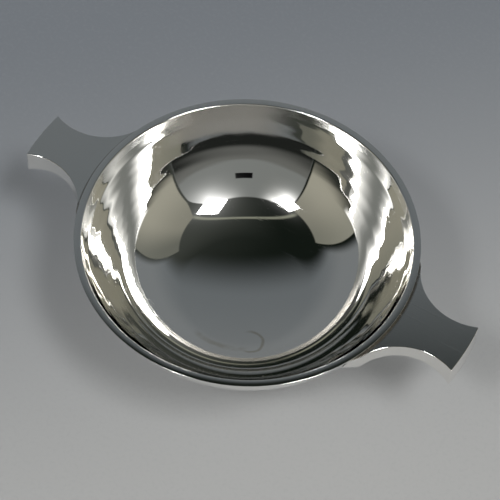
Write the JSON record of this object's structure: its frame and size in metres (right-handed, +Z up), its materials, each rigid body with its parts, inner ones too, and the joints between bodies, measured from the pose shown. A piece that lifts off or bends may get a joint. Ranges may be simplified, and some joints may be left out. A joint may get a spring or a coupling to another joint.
{
  "type": "quaich",
  "caption": "Shallow round drinking bowl of polished silver with a flat rim, a pair of hollow waisted lugs with arched undersides, and a low spreading foot ring.",
  "frame": {"origin": "middle of the foot's underside, on the surface the quaich stands on", "axes": "+Z up along the bowl's axis, +X through the right lug, so that both lugs lie along X"},
  "size_m": [0.164, 0.115, 0.045],
  "materials": {
    "bowl_silver": "hand-raised silver, polished to a mirror, with faint planishing and hairline scratches",
    "rim_silver": "polished flat silver wire with worn edges",
    "lug_silver": "polished silver sheet, a little softer than the bowl from handling",
    "foot_silver": "polished silver with fine wear where it stands"
  },
  "bodies": {
    "root": {"bowl": "bowl_silver", "rim_wire": "rim_silver", "foot_collar": "foot_silver", "foot_wire": "foot_silver", "right_lug_top": "lug_silver", "right_lug_base": "lug_silver", "right_lug_end": "lug_silver", "right_lug_front_wall": "lug_silver", "right_lug_back_wall": "lug_silver", "left_lug_top": "lug_silver", "left_lug_base": "lug_silver", "left_lug_end": "lug_silver", "left_lug_front_wall": "lug_silver", "left_lug_back_wall": "lug_silver"}
  },
  "joints": []
}
